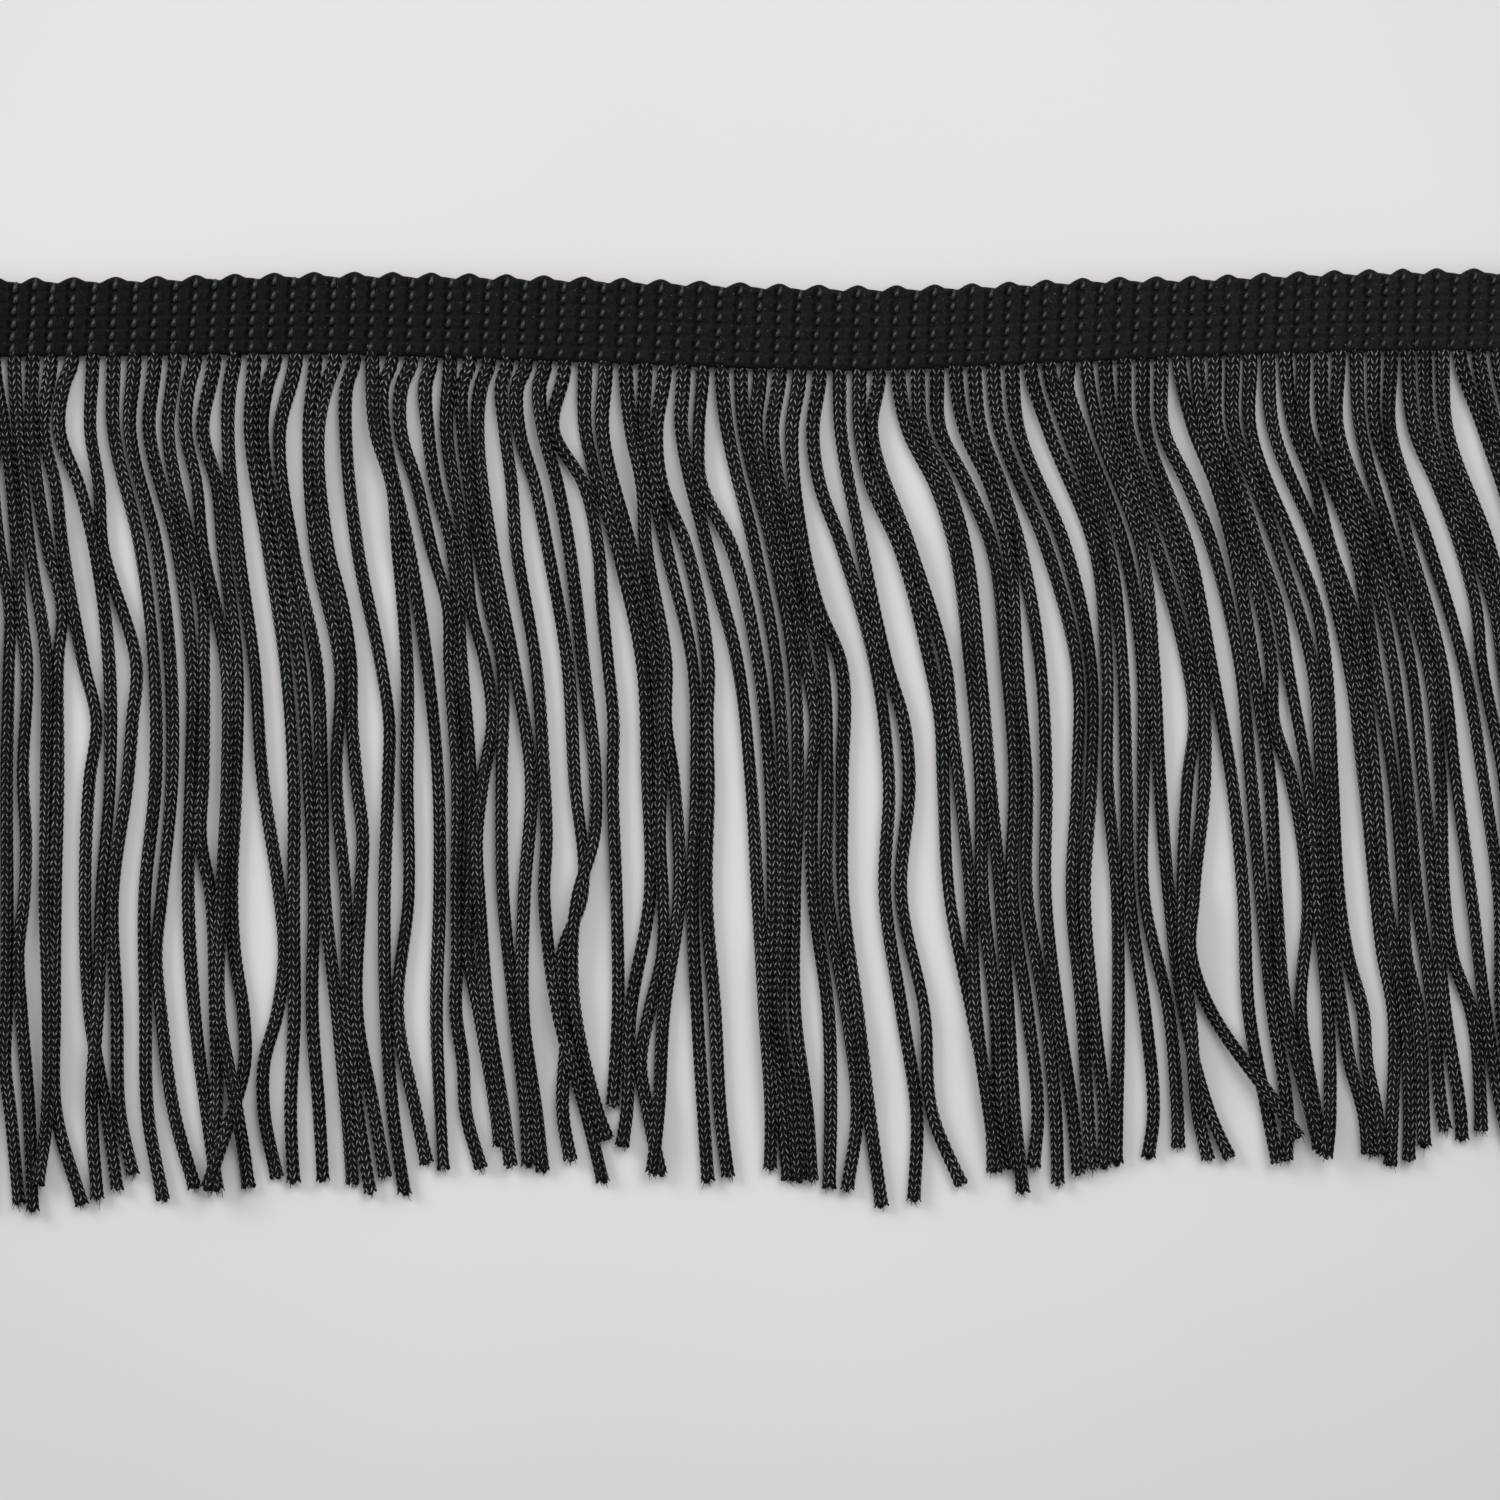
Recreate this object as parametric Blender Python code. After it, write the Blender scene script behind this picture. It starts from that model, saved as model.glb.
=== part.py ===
"""Tassel fringe trim: a knitted heading band with a comb of cut cords below it, lying flat.

The trim lies on its back in the XY plane, resting on z = 0, with the heading along +X and the
cords running towards -Y. The origin is at the middle of its floor rectangle.
"""

import bpy

MM = 0.001

# Heading: a flat knitted band, one scallop of its upper edge over each pair of cords.
BAND_THICKNESS = 2.0 * MM
BAND_END_MARGIN = 1.4 * MM
SCALLOP_HEIGHT = 0.5 * MM
SCALLOP_STEPS = 4

# Cords: each tooth of the comb is one pair of cords, the two legs of one loop.
CORD_DIAMETER = 1.5 * MM
TOOTH_WIDTH = 2.6 * MM
ROOT_ROW_WIDTH = 1.6 * MM
CROTCH_RISE = 0.5 * MM
TOOTH_STATIONS = 8
SEAT_GAP = 0.3 * MM

EDGE_ROUNDING = 0.3 * MM

# Moves the drawing so that the middle of its floor rectangle is the origin.
LAY_SHIFT_X = -0.37 * MM
LAY_SHIFT_Y = -0.12 * MM

# The heading's lower edge, which sags a little as it lies, and the width above it.
BAND_COLUMNS = ("x", "lower_y", "width")
BAND = (
    (-106, 49.6, 9.6),
    (-60, 49.9, 9.8),
    (-20, 48.9, 10.2),
    (15, 47.9, 10.2),
    (50, 49.4, 9.8),
    (75, 50.3, 9.6),
    (100, 50.5, 9.6),
)

# Where some of the numbered cords leave the heading. The others stand evenly between them.
FIRST_CORD = -3
ROOT_COLUMNS = ("cord", "x")
ROOTS = (
    (-3, -105.4),
    (1, -94.8),
    (3, -90.1),
    (5, -84.7),
    (8, -76.7),
    (12, -66.5),
    (16, -56.0),
    (20, -46.2),
    (24, -36.2),
    (28, -26.5),
    (32, -16.0),
    (36, -6.1),
    (40, 3.8),
    (44, 14.1),
    (48, 24.1),
    (52, 33.8),
    (56, 43.4),
    (60, 53.0),
    (64, 62.2),
    (68, 71.3),
    (72, 80.4),
    (76, 89.2),
    (79, 96.3),
    (80, 98.5),
)

# Where each pair of cords lies: its X at three heights, then the X and Y of its cut end.
UPPER_Y = 40
MIDDLE_Y = 10
LOWER_Y = -20
PAIR_COLUMNS = ("upper_x", "middle_x", "lower_x", "end_x", "end_y")
PAIRS = (
    (-101.5, -98.6, -98.6, -97.6, -59.0),
    (-96.7, -94.4, -94.6, -93.3, -60.3),
    (-93.1, -89.9, -90.1, -88.9, -58.7),
    (-89.2, -84.3, -84.6, -82.8, -58.6),
    (-83.5, -78.2, -79.8, -77.6, -57.6),
    (-78.7, -73.4, -74.1, -71.4, -58.0),
    (-73.9, -69.0, -68.8, -67.9, -57.9),
    (-68.9, -64.8, -63.7, -64.2, -57.0),
    (-63.6, -59.0, -57.7, -56.9, -56.9),
    (-58.8, -54.4, -53.5, -50.1, -57.8),
    (-53.9, -49.5, -48.7, -45.8, -57.4),
    (-47.6, -42.9, -42.0, -40.6, -55.0),
    (-43.3, -38.0, -37.4, -33.8, -53.8),
    (-38.1, -33.3, -33.1, -29.7, -54.9),
    (-33.4, -29.0, -27.8, -23.8, -56.3),
    (-28.2, -22.5, -21.9, -20.5, -52.9),
    (-23.3, -16.1, -15.1, -16.6, -49.7),
    (-17.6, -11.6, -10.2, -12.1, -55.9),
    (-12.9, -6.4, -6.5, -4.1, -56.7),
    (-7.7, -0.3, 1.4, 3.4, -56.1),
    (-2.2, 4.2, 5.1, 7.2, -56.8),
    (1.9, 8.3, 9.1, 11.4, -57.9),
    (6.8, 13.9, 14.7, 19.1, -59.8),
    (13.0, 20.4, 23.8, 28.9, -56.4),
    (18.1, 26.3, 27.9, 32.4, -55.5),
    (23.4, 31.3, 32.9, 36.2, -56.7),
    (28.8, 35.9, 36.9, 41.0, -56.7),
    (33.5, 42.4, 42.3, 44.8, -55.2),
    (39.5, 47.0, 48.1, 49.3, -54.2),
    (43.7, 51.3, 52.3, 58.2, -53.3),
    (48.1, 56.9, 56.9, 64.4, -52.7),
    (52.4, 61.3, 64.4, 68.6, -54.4),
    (57.4, 66.1, 69.5, 73.2, -52.9),
    (61.6, 70.8, 73.7, 77.1, -53.6),
    (66.0, 75.4, 78.3, 81.7, -54.2),
    (70.8, 79.7, 82.9, 85.9, -53.2),
    (75.0, 84.0, 87.1, 90.6, -51.0),
    (79.7, 88.3, 91.6, 94.4, -51.5),
    (84.1, 92.9, 96.0, 97.9, -52.8),
    (88.8, 96.9, 99.4, 101.0, -53.5),
    (94.0, 100.6, 102.6, 103.8, -53.0),
    (98.4, 103.9, 105.6, 106.2, -52.2),
)


def smooth_at(stations, values, place):
    """Value at a place on the smooth curve through the stations, given in rising order."""
    last = len(stations) - 1
    slopes = []
    for i in range(last + 1):
        low = max(i - 1, 0)
        high = min(i + 1, last)
        slopes.append((values[high] - values[low]) / (stations[high] - stations[low]))
    i = 0
    while i < last - 1 and place > stations[i + 1]:
        i += 1
    span = stations[i + 1] - stations[i]
    t = (place - stations[i]) / span
    start_part = values[i] * (1 + 2 * t) * (1 - t) ** 2 + slopes[i] * span * t * (1 - t) ** 2
    end_part = values[i + 1] * (3 - 2 * t) * t ** 2 - slopes[i + 1] * span * t ** 2 * (1 - t)
    return start_part + end_part


def column(table, names, name):
    """One named column of a table."""
    return [row[names.index(name)] for row in table]


def band_lower_y(x):
    """Height of the heading's lower edge at x."""
    lower = column(BAND, BAND_COLUMNS, "lower_y")
    return smooth_at(column(BAND, BAND_COLUMNS, "x"), lower, x / MM) * MM


def band_upper_y(x):
    """Height of the valleys between the scallops of the heading's upper edge at x."""
    width = column(BAND, BAND_COLUMNS, "width")
    return band_lower_y(x) + smooth_at(column(BAND, BAND_COLUMNS, "x"), width, x / MM) * MM


def pair_roots():
    """X of the middle of each pair of cords where it leaves the heading."""
    numbers = column(ROOTS, ROOT_COLUMNS, "cord")
    places = column(ROOTS, ROOT_COLUMNS, "x")
    roots = []
    for i in range(len(PAIRS)):
        left = smooth_at(numbers, places, FIRST_CORD + 2 * i)
        right = smooth_at(numbers, places, FIRST_CORD + 2 * i + 1)
        roots.append((left + right) / 2 * MM)
    return roots


def tooth_sides(root_x, row):
    """Left and right side points of one tooth, both from its root down to its cut end."""
    named = dict(zip(PAIR_COLUMNS, row))
    root_y = band_lower_y(root_x) - SEAT_GAP - ROOT_ROW_WIDTH
    stations = [named["end_y"] * MM, LOWER_Y * MM, MIDDLE_Y * MM, UPPER_Y * MM, root_y]
    places = [named["end_x"], named["lower_x"], named["middle_x"], named["upper_x"]]
    across = [place * MM for place in places] + [root_x]
    step = (root_y - stations[0]) / TOOTH_STATIONS
    left = []
    right = []
    for i in range(TOOTH_STATIONS + 1):
        y = root_y - i * step
        x = smooth_at(stations, across, y)
        lean = (smooth_at(stations, across, y - step / 10) - x) / (step / 10)
        if i == 0:
            lean = 0
        reach = TOOTH_WIDTH / 2 / (1 + lean * lean) ** 0.5
        left.append((x - reach, y - reach * lean))
        right.append((x + reach, y + reach * lean))
    return left, right


def comb_outline():
    """Outline of the fringe: down and up each tooth, then back along the row of roots."""
    roots = pair_roots()
    outline = []
    for root_x, row in zip(roots, PAIRS):
        left, right = tooth_sides(root_x, row)
        if outline:
            crotch_x = (outline[-1][0] + left[0][0]) / 2
            outline.append((crotch_x, left[0][1] + CROTCH_RISE))
        outline += left + right[::-1]
    for root_x in reversed(roots):
        for x in (root_x + TOOTH_WIDTH / 2, root_x - TOOTH_WIDTH / 2):
            outline.append((x, band_lower_y(x) - SEAT_GAP))
    return outline


def band_outline():
    """Outline of the heading: along its lower edge, then back over the scallops."""
    roots = pair_roots()
    start_x = roots[0] - TOOTH_WIDTH / 2 - BAND_END_MARGIN
    end_x = roots[-1] + TOOTH_WIDTH / 2 + BAND_END_MARGIN
    edges = [start_x]
    for left_root, right_root in zip(roots, roots[1:]):
        edges.append((left_root + right_root) / 2)
    edges.append(end_x)
    lower = []
    for x in [start_x] + roots + [end_x]:
        lower.append((x, band_lower_y(x)))
    upper = [(start_x, band_upper_y(start_x))]
    for left_edge, right_edge in zip(edges, edges[1:]):
        for i in range(1, SCALLOP_STEPS + 1):
            t = i / SCALLOP_STEPS
            x = left_edge + (right_edge - left_edge) * t
            upper.append((x, band_upper_y(x) + SCALLOP_HEIGHT * 4 * t * (1 - t)))
    return lower + upper[::-1]


def plain_material(name, colour, roughness):
    material = bpy.data.materials.new(name)
    material.use_nodes = True
    shader = material.node_tree.nodes["Principled BSDF"]
    shader.inputs["Base Color"].default_value = (*colour, 1)
    shader.inputs["Roughness"].default_value = roughness
    shader.inputs["Metallic"].default_value = 0
    return material


def flat_piece(name, outline, thickness, material, collection):
    """A flat piece of cloth: a filled outline with softened edges, resting on z = 0."""
    curve = bpy.data.curves.new(name, "CURVE")
    curve.dimensions = "2D"
    curve.fill_mode = "BOTH"
    curve.extrude = thickness / 2 - EDGE_ROUNDING
    curve.bevel_depth = EDGE_ROUNDING
    curve.bevel_resolution = 0
    curve.offset = -EDGE_ROUNDING
    spline = curve.splines.new("POLY")
    spline.points.add(len(outline) - 1)
    for point, (x, y) in zip(spline.points, outline):
        point.co = (x + LAY_SHIFT_X, y + LAY_SHIFT_Y, 0, 1)
    spline.use_cyclic_u = True
    curve.materials.append(material)
    piece = bpy.data.objects.new(name, curve)
    piece.location.z = thickness / 2
    collection.objects.link(piece)
    return piece


def clear_scene():
    for obj in list(bpy.data.objects):
        bpy.data.objects.remove(obj, do_unlink=True)


def main():
    clear_scene()
    collection = bpy.data.collections.new("tassel_fringe_trim")
    bpy.context.scene.collection.children.link(collection)
    knit_black = plain_material("knitted_black_polyester", (0.008, 0.009, 0.010), 0.62)
    cord_black = plain_material("braided_black_cord", (0.016, 0.018, 0.020), 0.55)
    flat_piece("heading_band", band_outline(), BAND_THICKNESS, knit_black, collection)
    flat_piece("fringe_comb", comb_outline(), CORD_DIAMETER, cord_black, collection)


main()
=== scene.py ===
# %% [markdown]
# # A tassel fringe trim
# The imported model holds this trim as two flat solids, the heading and one comb of cords.
# Here the same trim is dressed in the same frame: eighty-four knitted cords, each on its own
# path, hang from a ribbed knitted heading and lie on a pale table. The frame comes first,
# because every piece below has to be placed in it.

# %% The frame
import math

import bpy
import numpy as np
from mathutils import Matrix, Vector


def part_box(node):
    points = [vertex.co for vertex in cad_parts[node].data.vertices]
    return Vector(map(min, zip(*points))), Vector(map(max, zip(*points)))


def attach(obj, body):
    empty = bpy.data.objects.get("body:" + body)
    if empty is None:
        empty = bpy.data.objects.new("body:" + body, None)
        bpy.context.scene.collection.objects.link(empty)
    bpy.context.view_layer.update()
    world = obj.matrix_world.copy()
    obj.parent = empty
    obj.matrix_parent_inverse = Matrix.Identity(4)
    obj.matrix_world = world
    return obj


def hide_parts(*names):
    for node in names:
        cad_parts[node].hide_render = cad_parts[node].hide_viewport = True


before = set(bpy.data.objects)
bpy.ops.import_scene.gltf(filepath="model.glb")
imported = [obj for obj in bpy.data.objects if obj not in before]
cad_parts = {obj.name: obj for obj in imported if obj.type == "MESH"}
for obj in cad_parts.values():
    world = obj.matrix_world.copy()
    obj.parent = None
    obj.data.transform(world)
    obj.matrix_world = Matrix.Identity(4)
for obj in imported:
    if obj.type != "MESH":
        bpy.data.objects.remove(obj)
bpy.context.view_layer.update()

MM = 0.001
print("solids in the frame:", sorted(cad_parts))

# %% [markdown]
# The drawing of the trim was made with its own origin. One shift moves every place in it to
# the frame, whose origin is the middle of the trim's floor rectangle, so the tables below can
# keep the drawing's plain millimetres.

# %% The drawing's shift
DRAWING_SHIFT = (-0.37, -0.12)


def in_frame(points_mm):
    """Points of the drawing, in millimetres, as points of the frame in metres."""
    moved = np.array(points_mm, float)
    moved[..., 0] += DRAWING_SHIFT[0]
    moved[..., 1] += DRAWING_SHIFT[1]
    return moved * MM


print("the drawing moves by", DRAWING_SHIFT, "mm")

# %% [markdown]
# Places between the rows of a table come from one smooth curve through the rows. The same
# function serves the ribs, the heading's edges and, further on, the cords.

# %% A smooth curve through a table
def smooth_curve(stations, values, places):
    """Values at places on the smooth curve through the stations, given in rising order."""
    stations = np.array(stations, float)
    values = np.array(values, float)
    steps = np.diff(values) / np.diff(stations)
    slopes = np.concatenate([steps[:1], (steps[1:] + steps[:-1]) / 2, steps[-1:]])
    i = np.clip(np.searchsorted(stations, places) - 1, 0, len(stations) - 2)
    span = stations[i + 1] - stations[i]
    t = np.clip((places - stations[i]) / span, 0, 1)
    start = values[i] * (1 + 2 * t) * (1 - t) ** 2 + slopes[i] * span * t * (1 - t) ** 2
    end = values[i + 1] * (3 - 2 * t) * t ** 2 - slopes[i + 1] * span * t ** 2 * (1 - t)
    return start + end


def from_table(table, column, places):
    """Values of one column of a table, whose first column rises, at places between its rows."""
    return smooth_curve([row[0] for row in table], [row[column] for row in table], places)


print("halfway between 0 and 2:", float(from_table([(0, 0), (1, 2)], 1, 0.5)))

# %% [markdown]
# The heading is taken as warp knitted, with one rib to each cord. The ribs stand closer in
# some places than in others, so a table says where some of the numbered cords leave the
# heading, and the others stand evenly between them.

# %% Ribs of the heading
FIRST_RIB = -3
LAST_RIB = 80
RIB_PLACES = (
    # rib, x where its cord leaves the heading
    (-4, -108.0), (-3, -105.4), (1, -94.8), (3, -90.1), (5, -84.7), (8, -76.7), (12, -66.5),
    (16, -56.0), (20, -46.2), (24, -36.2), (28, -26.5), (32, -16.0), (36, -6.1), (40, 3.8),
    (44, 14.1), (48, 24.1), (52, 33.8), (56, 43.4), (60, 53.0), (64, 62.2), (68, 71.3),
    (72, 80.4), (76, 89.2), (79, 96.3), (80, 98.5), (82, 103.0),
)


def rib_x(rib):
    """X of a rib's cord at the heading's lower edge, in the drawing's millimetres."""
    return from_table(RIB_PLACES, 1, rib)


def rib_at(x):
    """The rib number, whole or in between, at an X of the drawing."""
    numbers = np.arange(RIB_PLACES[0][0], RIB_PLACES[-1][0] + 0.01, 0.1)
    return np.interp(x, rib_x(numbers), numbers)


ribbed_mm = float(rib_x(LAST_RIB) - rib_x(FIRST_RIB))
print("ribs:", LAST_RIB - FIRST_RIB + 1, "over", round(ribbed_mm, 1), "mm")

# %% [markdown]
# The heading doesn't lie straight, and it is a little wider where it sags. A few places of its
# lower edge and its width are enough.

# %% The heading's edges
HEADING_EDGES = (
    # x, y of the lower edge, width above it
    (-106, 49.4, 9.55), (-82, 49.6, 9.45), (-54, 49.75, 9.95), (-38, 49.3, 10.25),
    (-20, 48.7, 10.35), (15, 47.7, 10.25), (28, 48.2, 10.0), (45, 48.95, 10.05),
    (57, 49.45, 9.75), (73, 50.05, 9.8), (86, 50.2, 9.95), (100, 50.3, 9.8),
)


def lower_edge(x):
    """Y of the heading's lower edge at x."""
    return from_table(HEADING_EDGES, 1, x)


def heading_width(x):
    """Width of the heading at x, without the scallops of its upper edge."""
    return from_table(HEADING_EDGES, 2, x)


print("the heading sags by", round(float(lower_edge(-60.0) - lower_edge(15.0)), 1), "mm")

# %% [markdown]
# Each cord lies as it fell. It could be thrown by a cloth simulation, but then no cord would
# lie where this one's does. So each cord has a row: its X at seven heights on the way down,
# then the place of its cut end. The trim is a length cut from a longer run. The last few cords
# at both ends are laid out like their neighbours.

# %% Where the cords lie
LEVELS = (40, 25, 10, -5, -20, -35, -48)
CORDS = (
    # rib, x at each level, end x, end y
    (-3, -102.3, -100.0, -99.4, -99.6, -99.4, -99.4, -100.2, -101.0, -58.6),
    (-2, -100.2, -98.9, -97.7, -97.8, -97.6, -97.8, -98.4, -99.0, -59.6),
    (-1, -97.4, -96.7, -95.5, -95.8, -95.7, -95.8, -95.3, -94.2, -59.8),
    (0, -96.0, -94.5, -93.2, -93.7, -93.5, -93.9, -92.9, -92.4, -60.8),
    (1, -94.3, -92.8, -90.6, -90.7, -90.8, -90.3, -90.5, -91.7, -57.3),
    (2, -92.6, -90.5, -89.2, -89.2, -89.5, -89.6, -89.4, -86.0, -60.0),
    (3, -91.0, -88.6, -85.9, -85.1, -85.7, -85.1, -82.9, -81.5, -58.0),
    (4, -89.0, -84.4, -82.6, -82.5, -83.6, -84.0, -84.8, -84.1, -59.2),
    (5, -85.0, -83.4, -79.1, -80.2, -82.1, -81.6, -81.2, -79.5, -56.0),
    (6, -82.0, -78.6, -76.8, -76.6, -78.0, -77.9, -77.6, -75.6, -59.3),
    (7, -79.9, -76.4, -74.7, -74.5, -75.8, -75.9, -74.2, -71.5, -57.8),
    (8, -77.4, -73.8, -72.0, -72.1, -72.4, -71.6, -70.0, -68.6, -58.2),
    (9, -75.0, -72.1, -70.4, -70.5, -69.5, -68.9, -68.7, -69.3, -58.0),
    (10, -72.7, -70.5, -67.5, -67.3, -68.0, -68.3, -65.9, -64.6, -57.7),
    (11, -70.5, -67.9, -66.1, -66.2, -66.8, -65.3, -66.7, -69.8, -57.6),
    (12, -67.3, -66.0, -63.9, -62.8, -60.6, -60.9, -62.6, -60.9, -56.5),
    (13, -64.4, -62.1, -59.9, -58.8, -58.8, -58.7, -59.2, -58.8, -57.0),
    (14, -62.8, -60.5, -58.0, -56.9, -56.2, -56.4, -55.5, -55.0, -56.8),
    (15, -60.6, -58.9, -55.9, -55.2, -54.8, -53.2, -51.9, -51.2, -57.3),
    (16, -56.9, -56.0, -52.9, -53.3, -52.1, -51.7, -50.5, -48.9, -58.3),
    (17, -55.6, -54.4, -51.4, -50.7, -50.2, -50.6, -48.4, -47.0, -56.3),
    (18, -52.1, -50.6, -47.6, -46.6, -47.1, -46.9, -46.0, -44.5, -58.5),
    (19, -48.2, -45.4, -44.2, -44.2, -44.0, -45.4, -43.0, -41.6, -54.6),
    (20, -47.0, -44.0, -41.6, -40.2, -40.0, -40.4, -39.9, -39.5, -55.3),
    (21, -45.0, -41.1, -38.7, -37.7, -37.8, -37.9, -36.6, -34.6, -55.2),
    (22, -41.5, -38.4, -37.2, -36.0, -36.2, -34.9, -32.7, -32.2, -52.3),
    (23, -39.1, -36.7, -34.1, -34.4, -34.9, -33.7, -31.7, -30.8, -54.9),
    (24, -37.0, -34.9, -32.0, -32.0, -31.8, -30.3, -28.9, -28.6, -54.8),
    (25, -35.1, -33.3, -30.4, -28.2, -29.1, -29.2, -27.5, -26.7, -55.6),
    (26, -31.6, -30.1, -27.6, -26.5, -26.5, -24.7, -21.1, -18.9, -57.0),
    (27, -29.7, -26.1, -23.5, -22.6, -21.6, -23.6, -24.1, -23.1, -54.2),
    (28, -26.6, -23.3, -21.5, -19.9, -22.2, -22.5, -19.6, -18.3, -51.5),
    (29, -25.3, -19.6, -18.3, -17.7, -17.2, -17.0, -17.6, -17.7, -47.0),
    (30, -21.2, -17.2, -13.9, -13.2, -12.9, -15.4, -15.9, -16.5, -52.3),
    (31, -19.0, -15.4, -12.4, -11.5, -11.2, -13.0, -13.1, -11.5, -56.0),
    (32, -15.3, -13.4, -10.8, -9.8, -9.1, -11.1, -11.8, -12.6, -55.8),
    (33, -13.7, -10.8, -7.4, -6.9, -7.4, -6.8, -6.0, -5.4, -57.0),
    (34, -12.0, -8.2, -5.4, -5.3, -5.6, -4.5, -3.8, -2.8, -56.3),
    (35, -8.8, -5.5, -1.6, 0.1, 1.0, 1.9, 2.7, 2.6, -55.4),
    (36, -6.6, -2.4, 1.1, 2.6, 3.0, 2.7, 4.0, 4.9, -56.8),
    (37, -2.9, 0.6, 3.4, 4.3, 4.4, 3.9, 5.6, 6.3, -56.8),
    (38, -0.7, 2.9, 5.6, 6.2, 5.8, 5.8, 7.4, 8.0, -56.8),
    (39, 0.8, 4.2, 7.3, 8.0, 8.2, 10.1, 10.4, 10.2, -57.8),
    (40, 2.9, 5.5, 9.3, 10.0, 10.0, 12.5, 13.8, 12.5, -58.0),
    (41, 5.4, 6.9, 11.7, 11.9, 12.0, 13.9, 15.4, 17.0, -60.2),
    (42, 8.1, 11.9, 16.1, 17.9, 17.4, 19.6, 21.5, 21.1, -59.4),
    (43, 11.7, 14.4, 17.6, 20.5, 19.5, 22.5, 23.5, 27.3, -57.3),
    (44, 14.2, 19.2, 23.2, 24.9, 25.7, 28.6, 31.0, 31.4, -55.8),
    (45, 15.7, 20.6, 25.2, 26.9, 28.4, 29.1, 30.8, 32.0, -55.4),
    (46, 20.4, 26.4, 28.3, 29.7, 30.0, 31.7, 32.3, 33.7, -55.2),
    (47, 22.2, 27.7, 29.6, 30.9, 32.3, 33.3, 34.1, 35.2, -58.4),
    (48, 24.5, 31.2, 33.0, 34.1, 33.8, 35.8, 37.1, 36.5, -55.0),
    (49, 27.7, 33.2, 34.4, 35.7, 35.7, 38.1, 39.4, 39.7, -57.3),
    (50, 29.8, 34.8, 37.4, 38.2, 38.1, 39.7, 41.6, 42.3, -56.0),
    (51, 32.3, 38.2, 42.1, 42.2, 41.5, 42.8, 43.6, 44.0, -55.3),
    (52, 34.6, 40.6, 43.9, 44.0, 43.1, 44.3, 45.7, 45.6, -55.1),
    (53, 38.5, 44.4, 46.0, 46.1, 47.3, 47.5, 47.3, 47.2, -54.5),
    (54, 40.9, 46.1, 48.0, 48.5, 48.9, 50.9, 52.0, 51.3, -53.8),
    (55, 42.7, 48.2, 50.6, 50.7, 50.8, 54.0, 55.1, 55.2, -52.6),
    (56, 45.0, 50.4, 52.0, 52.8, 54.0, 55.9, 59.3, 61.9, -53.9),
    (57, 46.9, 52.4, 56.4, 56.4, 55.7, 56.6, 57.7, 59.1, -54.1),
    (58, 48.7, 54.6, 58.1, 58.6, 57.1, 59.5, 68.6, 70.7, -51.2),
    (59, 51.0, 56.4, 59.4, 62.1, 63.6, 64.3, 66.7, 68.0, -54.5),
    (60, 53.3, 59.6, 63.1, 64.6, 65.9, 67.4, 69.3, 69.1, -54.2),
    (61, 57.2, 62.2, 64.9, 67.0, 67.8, 69.1, 72.2, 73.3, -52.6),
    (62, 58.8, 63.6, 67.2, 69.8, 71.9, 71.0, 73.0, 73.9, -53.2),
    (63, 60.3, 65.5, 69.2, 71.9, 73.1, 74.5, 74.7, 74.1, -53.7),
    (64, 62.4, 68.0, 72.4, 73.7, 74.3, 76.3, 79.1, 79.7, -53.4),
    (65, 64.5, 70.2, 74.2, 75.0, 75.9, 79.0, 80.8, 81.3, -53.6),
    (66, 67.5, 73.4, 77.2, 79.1, 80.6, 82.9, 82.8, 82.5, -54.8),
    (67, 70.2, 74.8, 78.8, 80.7, 82.0, 84.4, 85.0, 84.9, -54.1),
    (68, 71.7, 77.9, 80.5, 82.9, 84.2, 86.2, 86.8, 86.9, -52.3),
    (69, 74.1, 79.5, 82.8, 84.7, 86.0, 88.1, 89.2, 89.7, -50.3),
    (70, 75.8, 81.3, 85.1, 86.8, 88.2, 89.6, 91.6, 91.8, -51.6),
    (71, 78.7, 83.0, 87.4, 89.0, 89.4, 93.0, 94.2, 94.2, -50.4),
    (72, 80.7, 85.0, 89.1, 91.0, 93.0, 94.8, 97.0, 98.2, -52.5),
    (73, 82.5, 87.5, 92.0, 94.5, 96.5, 96.9, 98.4, 99.0, -53.5),
    (74, 85.7, 91.6, 94.3, 97.2, 98.2, 99.2, 100.0, 100.8, -52.0),
    (75, 87.7, 93.4, 97.0, 98.8, 99.8, 101.4, 101.2, 100.6, -54.0),
    (76, 89.8, 95.3, 99.0, 100.6, 102.4, 103.0, 103.4, 104.0, -53.0),
    (77, 94.6, 99.2, 101.2, 103.0, 103.6, 104.4, 105.3, 105.4, -51.5),
    (78, 96.2, 100.6, 103.0, 104.6, 105.0, 105.6, 106.0, 106.6, -54.5),
    (79, 98.4, 102.2, 104.4, 105.6, 106.0, 106.2, 106.4, 106.0, -52.5),
    (80, 100.3, 103.8, 105.6, 106.8, 107.0, 107.2, 107.2, 107.4, -52.0),
)
print("cords:", len(CORDS), "with", len(LEVELS), "levels each")

# %% [markdown]
# Between two levels some cords bend more than a smooth curve through the table does. Each of
# these bends is one more place on the cord's way.

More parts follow.
